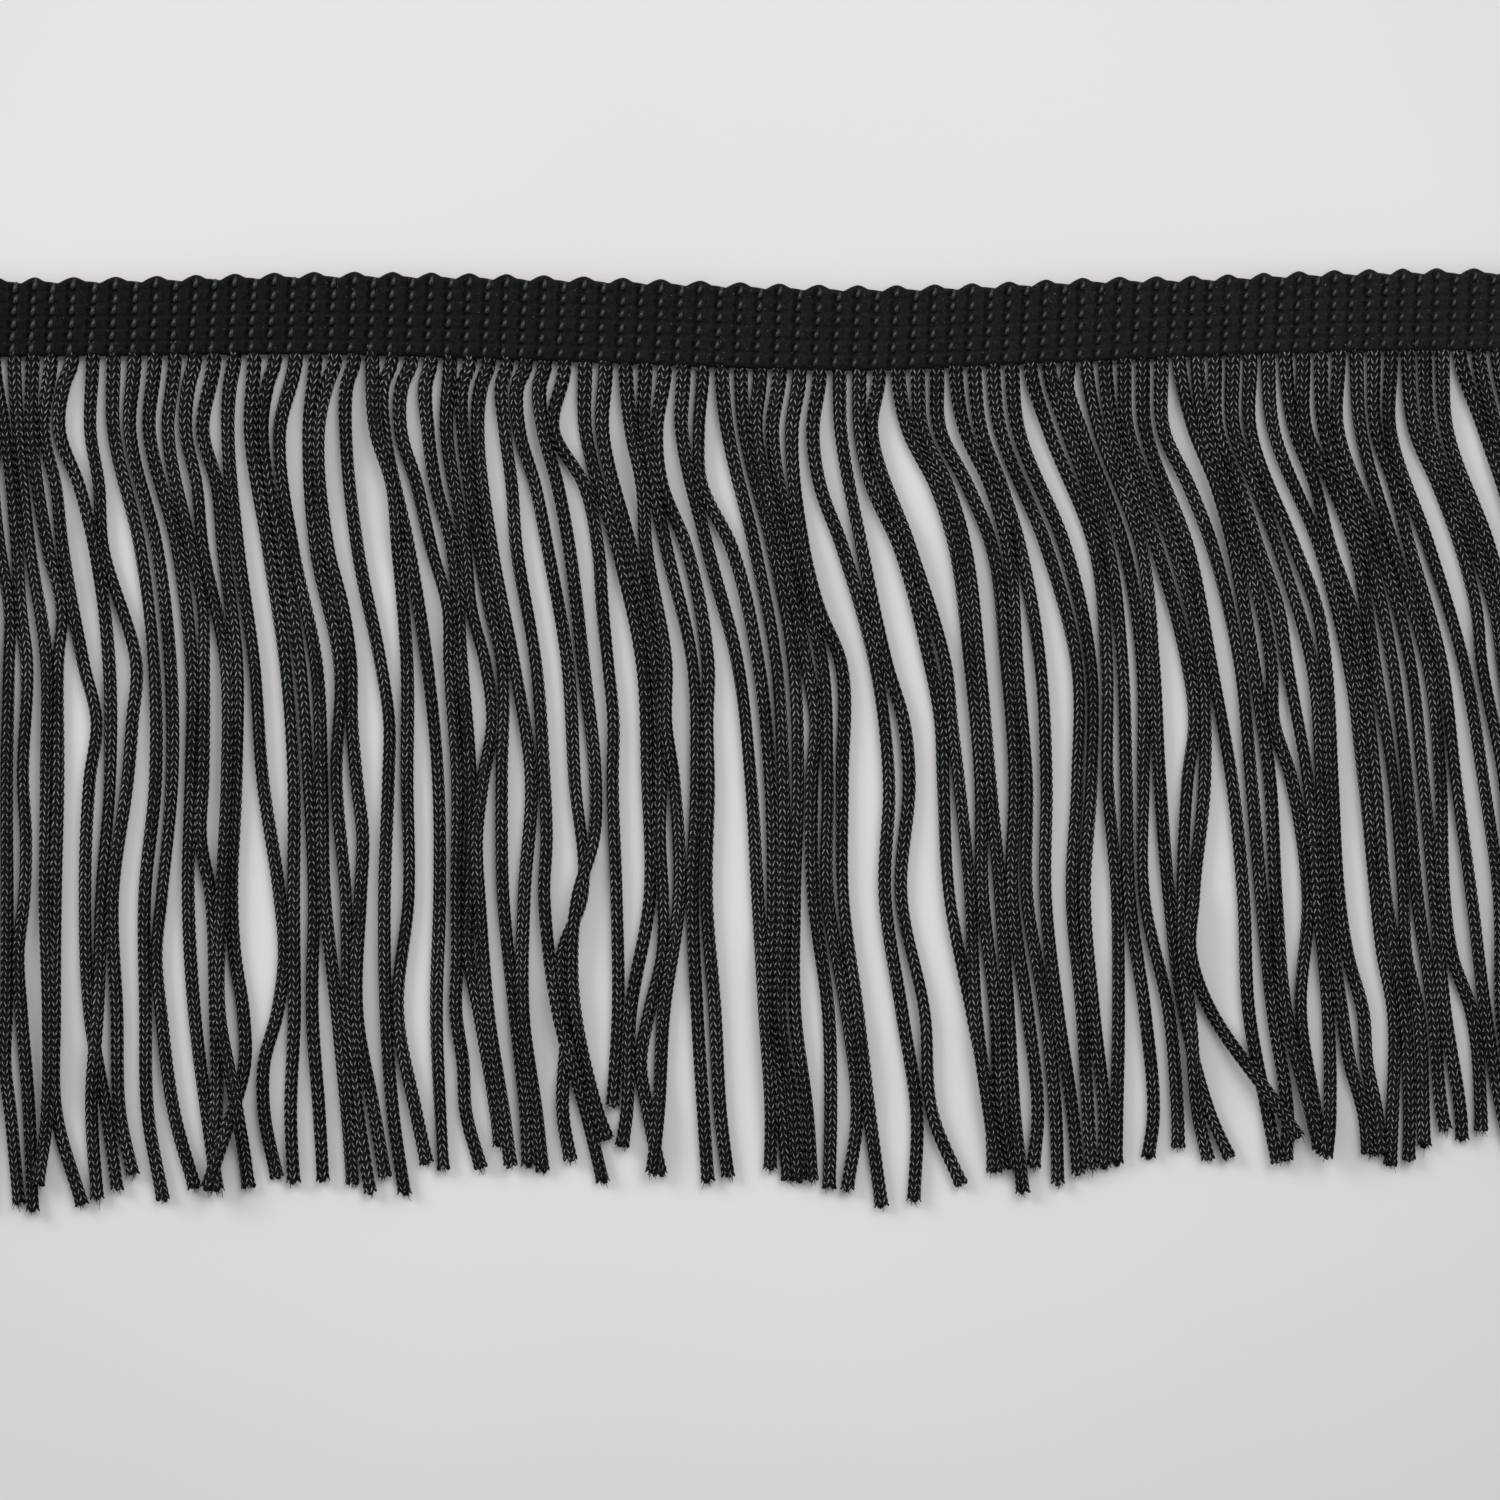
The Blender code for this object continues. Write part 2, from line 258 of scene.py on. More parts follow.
# %% Bends between the levels
BENDS = {
    # Y: the cords that bend there, and their x
    46: {
        4: -88.4, 10: -72.3, 12: -67.0, 14: -62.1, 17: -54.5, 18: -51.9, 20: -47.2, 21: -44.8,
        22: -41.8, 24: -37.0, 25: -34.6, 26: -32.0, 27: -29.9, 28: -27.1, 55: 40.8,
    },
    33: {
        -1: -97.5, 3: -89.5, 4: -86.5, 5: -83.9, 10: -71.3, 11: -68.7, 19: -46.1, 21: -42.9,
        22: -40.5, 26: -30.7, 27: -27.7, 28: -24.8, 29: -21.4, 32: -13.9, 34: -11.3, 36: -6.2,
        42: 9.0, 44: 15.6, 46: 23.9, 47: 25.4, 48: 28.0, 49: 30.9, 50: 32.4, 60: 56.5, 61: 60.0,
        62: 61.4, 63: 63.0, 64: 65.1, 67: 72.8, 68: 75.0, 72: 83.0, 74: 88.7,
    },
    17: {
        -1: -95.4, 0: -94.0, 2: -88.7, 9: -70.5, 17: -52.4, 21: -38.9, 23: -35.9, 24: -33.5,
        29: -19.0, 41: 8.9, 62: 66.0, 63: 68.1, 65: 73.1, 67: 77.5, 74: 93.6, 75: 96.0,
    },
    2.5: {
        3: -84.2, 5: -79.6, 17: -51.3, 18: -46.5, 23: -33.2, 29: -17.6, 32: -10.8, 34: -5.5,
        39: 8.5, 43: 19.8, 44: 24.6, 45: 26.0, 57: 57.3, 62: 67.5,
    },
    -12.5: {0: -93.3, 9: -70.8, 17: -49.9, 23: -35.2, 26: -26.2, 28: -20.1, 31: -11.6},
    -27.5: {
        0: -94.3, 7: -76.5, 11: -66.4, 12: -60.0, 21: -37.7, 22: -36.3, 27: -24.2, 28: -22.9,
        31: -11.3, 57: 55.7, 58: 56.7, 65: 77.0, 66: 81.5, 68: 84.6, 71: 90.4,
    },
    -41.5: {-1: -96.0, 11: -65.1, 12: -62.6, 21: -37.0, 31: -14.1, 64: 77.3, 65: 79.5},
}
print("bends between the levels:", sum(len(cords) for cords in BENDS.values()))

# %% [markdown]
# A path needs more places than the tables have. The smooth curve gives X every half millimetre
# down the trim, on the same heights for every cord, so that one cord can be compared with its
# neighbours. A cord starts a little inside the heading, where it is knitted in.

# %% Paths seen from above
HEIGHT_STEP = 0.5
HIGHEST = 53.0
LOWEST = -63.0
HEIGHTS = np.arange(HIGHEST, LOWEST, -HEIGHT_STEP)
ROOT_INSIDE = 2.0
ROOT_STRAIGHT = 1.0
CLEAR_OF_END = 2


def root_y(rib):
    """Y of the heading's lower edge where a cord leaves it."""
    return float(lower_edge(rib_x(rib)))


def path_across(row):
    """X of one cord at every height, and which heights it reaches."""
    rib, end_x, end_y = row[0], row[-2], row[-1]
    top = root_y(rib)
    places = dict(zip(LEVELS, row[1:-2]))
    places.update({y: cords[rib] for y, cords in BENDS.items() if rib in cords})
    stations = [(end_y, end_x)]
    stations += [(y, places[y]) for y in sorted(places) if y > end_y + CLEAR_OF_END]
    stations.append((top - ROOT_STRAIGHT, float(rib_x(rib))))
    stations.append((top + ROOT_INSIDE, float(rib_x(rib))))
    across = smooth_curve([s[0] for s in stations], [s[1] for s in stations], HEIGHTS)
    reached = (HEIGHTS <= top + ROOT_INSIDE) & (HEIGHTS >= end_y)
    return across, reached


ACROSS = np.array([path_across(row)[0] for row in CORDS])
REACHED = np.array([path_across(row)[1] for row in CORDS])
print("heights worked out:", len(HEIGHTS))

# %% [markdown]
# Where cords crowd together they can't all lie on the table. For most of them it isn't known
# which lies on top, so a plain rule decides: every second one lies over its neighbours. The
# nine in LAID_LATE are laid after those, over the cords that they cross. The cords are laid
# down in that order. Each looks at the ones already there, rises where it would cut into them,
# and the rise is eased out along the cord, because a cord doesn't bend sharply. A loose cord
# isn't quite flat either: it leaves the middle of the heading's thickness and springs up in
# shallow waves, which softens its shadow.

# %% Which cord lies over which
CORD_DIAMETER = 1.5
SQUEEZED_DIAMETER = 1.36
EASE_LENGTH = 2.0
EASE_SOFTNESS = 0.8
ROOT_LIFT = 0.2
ROOT_LIFT_REACH = 12.0
WAVE_LIFT = 0.11
WAVE_LENGTH = 9.0
WAVE_SHIFT = 2.4
NEIGHBOURS_FELT = 6
LAID_LATE = {4: 2, 28: 3, 26: 2, 58: 4, 57: 3, 63: 3, 10: 2, 45: 3, 32: 2}


def laying_order():
    """Places in the table of the cords, in the order in which they are laid down."""
    order = []
    for place, row in enumerate(CORDS):
        rib = row[0]
        order.append((LAID_LATE.get(rib, rib % 2), place))
    return [place for _, place in sorted(order)]


def eased(heights_mm):
    """The heights widened a little, then smoothed, along one cord."""
    reach = int(EASE_LENGTH / HEIGHT_STEP)
    padded = np.pad(heights_mm, 3 * reach, mode="edge")
    widened = padded.copy()
    for shift in range(-reach, reach + 1):
        widened = np.maximum(widened, np.roll(padded, shift))
    offsets = np.arange(-2 * reach, 2 * reach + 1)
    weights = np.exp(-0.5 * (offsets / (reach * EASE_SOFTNESS)) ** 2)
    smooth = np.convolve(widened, weights / weights.sum(), mode="same")
    return smooth[3 * reach:-3 * reach]


def free_height(place):
    """How high a cord's middle is where nothing is under it: it springs up a little."""
    below_heading = root_y(CORDS[place][0]) - HEIGHTS
    near_root = ROOT_LIFT * np.exp(-np.maximum(below_heading, 0) / ROOT_LIFT_REACH)
    waves = WAVE_LIFT * (1 + np.sin(below_heading / WAVE_LENGTH + WAVE_SHIFT * place))
    return CORD_DIAMETER / 2 + near_root + waves


def resting_heights():
    """Height of each cord's middle above the table, at every height of the drawing."""
    lean = np.gradient(ACROSS, HEIGHT_STEP, axis=1)
    shrink = 1 / np.sqrt(1 + lean ** 2)
    resting = np.stack([free_height(place) for place in range(len(CORDS))])
    laid = []
    for place in laying_order():
        needed = resting[place].copy()
        for other in laid:
            if abs(other - place) > NEIGHBOURS_FELT:
                continue
            apart = np.abs(ACROSS[place] - ACROSS[other]) * np.minimum(shrink[place], shrink[other])
            touching = (apart < SQUEEZED_DIAMETER) & REACHED[place] & REACHED[other]
            rise = np.sqrt(np.maximum(SQUEEZED_DIAMETER ** 2 - apart ** 2, 0))
            needed = np.where(touching, np.maximum(needed, resting[other] + rise), needed)
        resting[place] = eased(needed)
        laid.append(place)
    return resting


RESTING = resting_heights()
print("highest cord middle, mm:", round(float(RESTING[REACHED].max()), 2))

# %% [markdown]
# A mesh can be filled face by face, but for thousands of faces whole arrays are far quicker.
# One function makes a piece from arrays of points, arrays of four-cornered faces and the flat
# ends. It also tells the frame which body the piece rides on and which solid it stands for.

# %% From arrays to a piece
def make_piece(name, points_mm, quads, ends, material, stands_for=None, stitches=None):
    """A smooth mesh from lists of arrays of points and quads, riding on the trim.

    The points are in the drawing's millimetres. stitches gives each corner of each quad its
    place in the knitting, counted in wales and courses, and is kept as a UV map.
    """
    mesh = bpy.data.meshes.new(name)
    points = in_frame(np.concatenate(points_mm))
    quads = np.concatenate(quads)
    mesh.vertices.add(len(points))
    mesh.vertices.foreach_set("co", points.astype(np.float32).ravel())
    sizes = [4] * len(quads) + [len(end) for end in ends]
    corners = np.concatenate([quads.ravel()] + [np.array(end) for end in ends])
    starts = np.concatenate([[0], np.cumsum(sizes)[:-1]])
    mesh.loops.add(len(corners))
    mesh.loops.foreach_set("vertex_index", corners.astype(np.int32))
    mesh.polygons.add(len(sizes))
    mesh.polygons.foreach_set("loop_start", starts.astype(np.int32))
    mesh.polygons.foreach_set("use_smooth", [True] * len(sizes))
    mesh.update(calc_edges=True)
    if stitches is not None:
        knitting = mesh.uv_layers.new(name="knitting")
        counted = np.zeros((len(corners), 2), np.float32)
        counted[:quads.size] = np.concatenate(stitches)
        knitting.data.foreach_set("uv", counted.ravel())
    mesh.validate()
    mesh.materials.append(material)
    piece = bpy.data.objects.new(name, mesh)
    bpy.context.scene.collection.objects.link(piece)
    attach(piece, "root")
    if stands_for:
        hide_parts(stands_for)
    return piece


def triangle_count(piece):
    """How many triangles a piece's faces make."""
    return sum(len(face.vertices) - 2 for face in piece.data.polygons)


print("a piece is made from arrays of points and faces")

# %% [markdown]
# Colours are written as they look, in sRGB hex, and one function turns them into the linear
# numbers that the shader wants. One more adds a node with its settings and links. Patterns are
# sized in millimetres, so the place on a piece is turned into those first.

# %% Colour and node helpers
def linear(hex_colour):
    """An sRGB hex colour as linear RGBA."""
    channels = [int(hex_colour[i:i + 2], 16) / 255 for i in (1, 3, 5)]
    turned = [c / 12.92 if c <= 0.04045 else ((c + 0.055) / 1.055) ** 2.4 for c in channels]
    return (*turned, 1)


def add_node(tree, kind, settings=None, values=None, links=None, stops=()):
    """A new node with its settings, its socket values and links into its sockets.

    A link comes from a socket, or from the first output of a node. Stops are the positions and
    colours of a ramp, of which a new one has two already.
    """
    node = tree.nodes.new("ShaderNode" + kind)
    for key, value in (settings or {}).items():
        setattr(node, key, value)
    for socket, value in (values or {}).items():
        node.inputs[socket].default_value = value
    for socket, source in (links or {}).items():
        if isinstance(source, bpy.types.Node):
            source = source.outputs[0]
        tree.links.new(source, node.inputs[socket])
    for i, (position, colour) in enumerate(stops):
        ramp = node.color_ramp.elements
        stop = ramp[i] if i < 2 else ramp.new(position)
        stop.position = position
        stop.color = linear(colour)
    return node


def place_in_mm(tree):
    """The place on a piece in millimetres."""
    place = add_node(tree, "TexCoord")
    return add_node(
        tree, "VectorMath", {"operation": "SCALE"},
        {"Scale": 1 / MM}, {"Vector": place.outputs["Object"]},
    )


def new_material(name):
    """A material with nodes, its tree and its shader node."""
    material = bpy.data.materials.new(name)
    material.use_nodes = True
    tree = material.node_tree
    return material, tree, tree.nodes["Principled BSDF"]


print("black of the cords in linear light:", [round(v, 4) for v in linear("#1b1d1e")[:3]])

# %% [markdown]
# The cords are taken as black textured polyester, knitted into a thin cord. Crimped filaments
# scatter light, so it is dull, yet each leg of a stitch is a bundle that catches light on its
# crown, and hardly any light gets between the legs. That light and shade are painted into the
# colour: a painted glint on each crown and painted shade between the legs, while the same
# pattern also raises a bump. Each face corner knows its place in the knitting, in wales and
# courses. So a narrow ridge once in every course, fading out twice in every wale, draws each leg
# exactly where the mesh has it. A noise as fine as the filaments breaks the legs up. A wider,
# faint one, drawn out along the cords, makes some stretches a little lighter and more raised
# than others.

# %% Textured polyester of the cords
FILAMENT_BUNDLE = 0.16
PATCH_SIZE = (2.2, 12.0)
LEG_THINNESS = 3.0
LEG_FADE = 0.7
LEG_SHARE = 0.56
PATCH_SHARE = 0.24
BUNDLE_SHARE = 0.9
SHADE_START = -0.14


def knitted_polyester_cord():
    material, tree, shader = new_material("knitted_textured_polyester")
    in_mm = place_in_mm(tree)
    stitch = add_node(tree, "UVMap", {"uv_map": "knitting"})
    counted = add_node(tree, "SeparateXYZ", {}, {}, {"Vector": stitch})
    waves = []
    for axis, half_turns, wave, sharpness in (
        ("Y", 1, "COSINE", LEG_THINNESS),
        ("X", 2, "SINE", LEG_FADE),
    ):
        turn = add_node(
            tree, "Math", {"operation": "MULTIPLY"}, {1: half_turns * math.pi},
            {0: counted.outputs[axis]},
        )
        waving = add_node(tree, "Math", {"operation": wave}, {}, {0: turn})
        size = add_node(tree, "Math", {"operation": "ABSOLUTE"}, {}, {0: waving})
        waves.append(add_node(tree, "Math", {"operation": "POWER"}, {1: sharpness}, {0: size}))
    leg = add_node(tree, "Math", {"operation": "MULTIPLY"}, {}, {0: waves[0], 1: waves[1]})
    stretched = add_node(
        tree, "VectorMath", {"operation": "MULTIPLY"},
        {1: (1 / PATCH_SIZE[0], 1 / PATCH_SIZE[1], 1 / PATCH_SIZE[0])}, {0: in_mm},
    )
    patches = add_node(tree, "TexNoise", {}, {"Scale": 1.0, "Detail": 1.0}, {"Vector": stretched})
    bundles = add_node(
        tree, "TexNoise", {},
        {"Scale": 1 / FILAMENT_BUNDLE, "Detail": 2.0, "Roughness": 0.6}, {"Vector": in_mm},
    )
    crown_glint_and_relief = add_node(
        tree, "Math", {"operation": "MULTIPLY_ADD"}, {1: LEG_SHARE, 2: SHADE_START},
        {0: leg},
    )
    patched_glint_and_relief = add_node(
        tree, "Math", {"operation": "MULTIPLY_ADD"}, {1: PATCH_SHARE},
        {0: patches, 2: crown_glint_and_relief},
    )
    broken_glint_and_relief = add_node(
        tree, "Math", {"operation": "MULTIPLY_ADD"}, {1: BUNDLE_SHARE},
        {0: bundles, 2: patched_glint_and_relief},
    )
    # Painted light: this ramp paints the crowns of the legs grey, up to a near-white painted glint,
    # and paints the gaps between the legs near black as painted shade.
    shade = add_node(tree, "ValToRGB", {}, {}, {"Fac": broken_glint_and_relief}, (
        (0.30, "#040404"), (0.54, "#0a0b0b"), (0.72, "#1b1c1c"), (0.86, "#3b3e3e"),
        (1.0, "#979a99"),
    ))
    raised = add_node(
        tree, "Bump", {}, {"Strength": 0.9, "Distance": 0.10 * MM},
        {"Height": broken_glint_and_relief},
    )
    tree.links.new(shade.outputs["Color"], shader.inputs["Base Color"])
    tree.links.new(raised.outputs["Normal"], shader.inputs["Normal"])
    shader.inputs["Roughness"].default_value = 0.38
    shader.inputs["IOR"].default_value = 1.54
    shader.inputs["Specular IOR Level"].default_value = 0.06
    shader.inputs["Metallic"].default_value = 0.0
    return material


CORD_YARN = knitted_polyester_cord()
print("cord material:", CORD_YARN.name)

# %% [markdown]
# A thin cord like this is a knitted tube of a few wales, the columns of V-shaped stitches that
# run along it. A plain tube with a bump would look like rubber where its edge shows. So each
# ring of the tube is folded into the V of the stitches, and rings are raised and sunk by turns,
# two for each stitch course: the faces then follow the legs of the stitches. The cord is a
# little flat, and it turns slowly about its own line as it lies. Where it leaves the heading it
# is slack and swells. Where it is cut it flares a little and its rim is uneven.

# %% The knitted tube
WALES = 4
SIDES = 4 * WALES
COURSE = 0.97
COURSE_SPREAD = 0.035
HALF_WIDTH = 0.83
HALF_THICKNESS = 0.68
LEG_RELIEF = 0.085
WALE_GROOVE = 0.10
STITCH_SLANT = 1.0
LEG_AT_GROOVE = 0.35
TWIST_LENGTH = 400.0
ROLL_LENGTH = 17.0
ROOT_EASE = 2.5
ROOT_SWELL = 0.12
ROOT_SWELL_REACH = 7.0
END_FLARE = 0.16
FLARE_REACH = 0.8
CUT_REACH = 0.6
HEADING_THICKNESS = 2.0


def path_in_space(place):
    """The middle line of one cord in the drawing's millimetres, from inside the heading down."""
    reached = REACHED[place]
    end_x, end_y = CORDS[place][-2:]
    line = np.stack([ACROSS[place][reached], HEIGHTS[reached], RESTING[place][reached]], axis=1)
    inside = np.clip((line[:, 1] - root_y(CORDS[place][0]) + ROOT_EASE) / ROOT_EASE, 0, 1)
    line[:, 2] += (HEADING_THICKNESS / 2 - line[:, 2]) * inside * inside * (3 - 2 * inside)
    last = np.array([[end_x, end_y, line[-1, 2]]])
    return np.concatenate([line, last])


def along_path(line, step):
    """Places a step apart along a line, with the direction there and two directions across."""
    lengths = np.concatenate([[0], np.cumsum(np.linalg.norm(np.diff(line, axis=0), axis=1))])
    count = max(int(lengths[-1] / step), 2)
    travelled = np.linspace(0, lengths[-1], count + 1)
    places = np.stack([np.interp(travelled, lengths, line[:, axis]) for axis in range(3)], axis=1)
    ahead = np.gradient(places, axis=0)
    ahead /= np.linalg.norm(ahead, axis=1, keepdims=True)
    across = np.cross([0.0, 0.0, 1.0], ahead)
    across /= np.linalg.norm(across, axis=1, keepdims=True)
    return travelled, places, ahead, across, np.cross(ahead, across)


def knitted_tube(line, course, turn, roll, cut):
    """Points of one cord, ring after ring, with the stitches' relief.

    cut says how far each corner of the ring reaches past the square end.
    """
    travelled, places, ahead, across, upward = along_path(line, course / 2)
    length = travelled[-1]
    corner = np.arange(SIDES) / SIDES
    in_wale = (corner * WALES) % 1
    fold = (0.5 - np.abs(2 * in_wale - 1)) * STITCH_SLANT
    on_leg = np.abs(np.sin(2 * math.pi * in_wale))
    raised = np.where(np.arange(len(travelled)) % 2 == 0, 1.0, -1.0)
    relief = LEG_RELIEF * raised[:, None] * (LEG_AT_GROOVE + (1 - LEG_AT_GROOVE) * on_leg)
    relief = relief - np.where(in_wale == 0, WALE_GROOVE, 0.0)[None, :]
    flare = 1 + END_FLARE * np.exp(-(length - travelled) / FLARE_REACH)
    flare = flare + ROOT_SWELL * np.exp(-((travelled - ROOT_INSIDE) / ROOT_SWELL_REACH) ** 2)
    slide = np.clip(travelled[:, None] + fold[None, :], 0, length) - travelled[:, None]
    slide = slide + np.exp(-(length - travelled) / CUT_REACH)[:, None] * cut[None, :]
    angle = 2 * math.pi * (corner[None, :] + travelled[:, None] / TWIST_LENGTH) + turn
    flat_turn = roll * np.sin(travelled / ROLL_LENGTH + turn)
    wide = np.cos(angle - flat_turn[:, None])
    high = np.sin(angle - flat_turn[:, None])
    radius = 1 / np.sqrt((wide / HALF_WIDTH) ** 2 + (high / HALF_THICKNESS) ** 2)
    radius = (radius + relief) * flare[:, None]
    points = places[:, None, :] + ahead[:, None, :] * slide[..., None]
    points = points + across[:, None, :] * (radius * np.cos(angle))[..., None]
    return points + upward[:, None, :] * (radius * np.sin(angle))[..., None]


def cord_length(place):
    """Length of one cord in millimetres, from the heading's lower edge to its cut end."""
    steps = np.diff(path_in_space(place), axis=0)
    return float(np.linalg.norm(steps, axis=1).sum()) - ROOT_INSIDE


middle_place = len(CORDS) // 2
sample = knitted_tube(path_in_space(middle_place), COURSE, 0.0, 0.0, np.zeros(SIDES))
print("rings in one cord:", len(sample), "corners in a ring:", sample.shape[1])
lengths_mm = sorted(round(cord_length(place), 1) for place in range(len(CORDS)))
print("cord lengths, mm, shortest:", lengths_mm[0], "middle:", lengths_mm[middle_place])
print("longest:", lengths_mm[-1])

# %% [markdown]
# Two neighbouring cords are taken as the legs of one loop, bent inside the heading and cut to
# length below. Each cord is its own tube here, and neighbours are joined into six pieces, so
# that no piece is too heavy to handle. Each end is closed by a cut face, a little sunk. A soft
# cord goes flat where it rests on the table, so no point is left below the table.

# %% The cords
CORDS_IN_A_PIECE = 14
CUT_SINK = 0.25
CUT_INNER = 0.6
CUT_SLOPE = 0.28
CUT_TEETH = (-0.36, 0.0)
LINES_DROPPED = 4
TURN_SPREAD = 0.3
MOST_ROLL = 0.8


def tube_faces(first, rings, sides):
    """Faces between neighbouring rings of one tube, whose points start at first."""
    ring = np.arange(rings - 1)[:, None] * sides
    side = np.arange(sides)[None, :]
    after = (side + 1) % sides
    a = first + ring + side
    b = first + ring + after
    return np.stack([a, b, b + sides, a + sides], axis=-1).reshape(-1, 4)


def tube_ends(first, rings, sides):
    """The two flat ends of one tube."""
    last = first + (rings - 1) * sides
    opening = [first + side for side in reversed(range(sides))]
    return [opening, [last + side for side in range(sides)]]


def tube_stitches(rings):
    """Place in the knitting, in wales and courses, of every corner of one cord's faces."""
    ring, side = np.meshgrid(np.arange(rings - 1), np.arange(SIDES), indexing="ij")
    wale = np.stack([side, side + 1, side + 1, side], axis=-1) / SIDES * WALES
    course = np.stack([ring, ring, ring + 1, ring + 1], axis=-1) / 2
    return np.stack([wale, course], axis=-1)


def scissor_cut(turn, chance):
    """How far each corner of a cut cord reaches: a slope across the cord, and torn teeth."""
    corner_turn = 2 * math.pi * np.arange(SIDES) / SIDES + turn
    slope = np.clip(chance.normal(0, CUT_SLOPE), -2 * CUT_SLOPE, 2 * CUT_SLOPE)
    return slope * HALF_WIDTH * np.cos(corner_turn) + chance.uniform(*CUT_TEETH, SIDES)


def cord_group(number, places, chance):
    """One piece made of neighbouring cords."""
    points, quads, ends, stitches = [], [], [], []
    first = 0
    for place in places:
        turn = math.pi / 4 + chance.normal(0, TURN_SPREAD)
        cut = scissor_cut(turn, chance)
        line = path_in_space(place)[chance.integers(0, LINES_DROPPED):]
        course = COURSE + chance.normal(0, COURSE_SPREAD)
        tube = knitted_tube(line, course, turn, chance.uniform(0, MOST_ROLL), cut)
        centre = tube[-1].mean(axis=0)
        back = tube[-2].mean(axis=0) - centre
        back = back / np.linalg.norm(back) * CUT_SINK
        sunk = centre + (tube[-1] - centre) * CUT_INNER + back
        tube = np.concatenate([tube, sunk[None]])
        tube[..., 2] = np.maximum(tube[..., 2], 0.0)
        rings = len(tube)
        points.append(tube.reshape(-1, 3))
        quads.append(tube_faces(first, rings, SIDES))
        stitches.append(tube_stitches(rings).reshape(-1, 2))
        ends += tube_ends(first, rings, SIDES)
        first += rings * SIDES
    return make_piece(
        "cords_%d" % number, points, quads, ends,
        CORD_YARN, "fringe_comb", stitches,
    )


chance = np.random.default_rng(11)
for number, start in enumerate(range(0, len(CORDS), CORDS_IN_A_PIECE), 1):
    piece = cord_group(number, range(start, min(start + CORDS_IN_A_PIECE, len(CORDS))), chance)
    print(piece.name, "triangles:", triangle_count(piece))

# %% [markdown]
# A knitted cord that is cut with scissors lets go of a few short ends of yarn. They could be a
# particle system, but that would be instances. Thin bent tubes, a few at each cut end with
# their own length and spread, stay real meshes and cost little.

# %% Loose filaments at the cut ends
LOOSE_FILAMENTS = 7
LOOSE_LENGTH = (0.25, 0.75)
LOOSE_DIAMETER = 0.15
LOOSE_SIDES = 3
LOOSE_RINGS = 5
LOOSE_SPREAD = 0.3
LOOSE_BEND = 0.7
LOOSE_TAPER = 0.6
LOOSE_FROM_MIDDLE = 0.55
LOOSE_START_INSIDE = 0.3


def loose_filament(start, ahead, chance):
    """Rings of one filament that starts in a cut face."""
    length = chance.uniform(*LOOSE_LENGTH)
    spread = chance.normal(0, LOOSE_SPREAD, 3)
    bend = chance.normal(0, LOOSE_BEND, 3)
    rings = []
    for i in range(LOOSE_RINGS):
        t = i / (LOOSE_RINGS - 1)
        centre = start + (ahead + spread) * length * t + bend * length * t * t * 0.5
        centre[2] = max(centre[2], LOOSE_DIAMETER)
        thickness = LOOSE_DIAMETER / 2 * (1 - LOOSE_TAPER * t)
        for side in range(LOOSE_SIDES):
            angle = 2 * math.pi * side / LOOSE_SIDES
            rings.append(centre + thickness * np.array([math.cos(angle), 0.0, math.sin(angle)]))
    return np.array(rings)


def loose_ends(chance):
    points, quads, ends = [], [], []
    first = 0
    for place in range(len(CORDS)):
        line = path_in_space(place)
        ahead = line[-1] - line[-4]
        ahead = ahead / np.linalg.norm(ahead)
        for _ in range(LOOSE_FILAMENTS):
            offset = chance.uniform(-LOOSE_FROM_MIDDLE, LOOSE_FROM_MIDDLE, 3)
            offset -= ahead * offset.dot(ahead)
            start = line[-1] + offset - ahead * LOOSE_START_INSIDE
            rings = loose_filament(start, ahead, chance)
            points.append(rings)
            quads.append(tube_faces(first, LOOSE_RINGS, LOOSE_SIDES))
            ends += tube_ends(first, LOOSE_RINGS, LOOSE_SIDES)
            first += len(rings)
    return make_piece("loose_filaments", points, quads, ends, CORD_YARN)


filaments = loose_ends(np.random.default_rng(5))
print("loose filaments:", LOOSE_FILAMENTS * len(CORDS), "triangles:", triangle_count(filaments))

# %% [markdown]
# The heading is darker and flatter than the cords, as smooth, tightly spun yarn would be. A
# noise and a small bump at the pitch of its yarns break the shine into dull bands. The highest
# peaks of a finer noise are the specks of lint that black cloth always carries. The band's
# colour is also painted greyer towards its right end: painted light, for the light that
# catches that end of the heading more. Whether its dye or only the light does that isn't
# known, so PAINTED_LIGHT_ALONG just gives it that look.

# %% Spun polyester of the heading
YARN_PITCH = 0.42
LINT_SIZE = 0.20
LINT_FROM = 0.74
LINT_TO = 0.80
PAINTED_LIGHT_ALONG = (0.85, 1.6)
SHADE_REACH = 100.0


